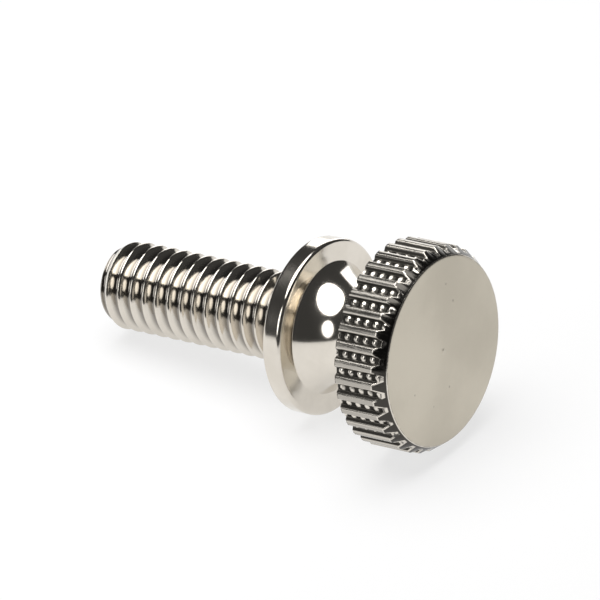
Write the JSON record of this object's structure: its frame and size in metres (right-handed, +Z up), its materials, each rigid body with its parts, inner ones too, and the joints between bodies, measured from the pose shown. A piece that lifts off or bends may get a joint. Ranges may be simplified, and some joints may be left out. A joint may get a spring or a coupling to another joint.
{
  "type": "thumb screw",
  "caption": "Knurled thumb screw turned in one piece: ribbed disc head with a flat face, hollow neck, round collar and a threaded shank, driven by hand.",
  "frame": {"origin": "on the floor, under the middle of the lying screw's box", "axes": "+X along the floor from the tip towards the head, +Z up; the screw's axis leans down to the tip"},
  "size_m": [0.0212, 0.0108, 0.011],
  "materials": {
    "nickel_plate": "bright nickel plate, satin on the flat face of the head"
  },
  "bodies": {
    "root": {"thumb_screw": "nickel_plate"}
  },
  "joints": []
}
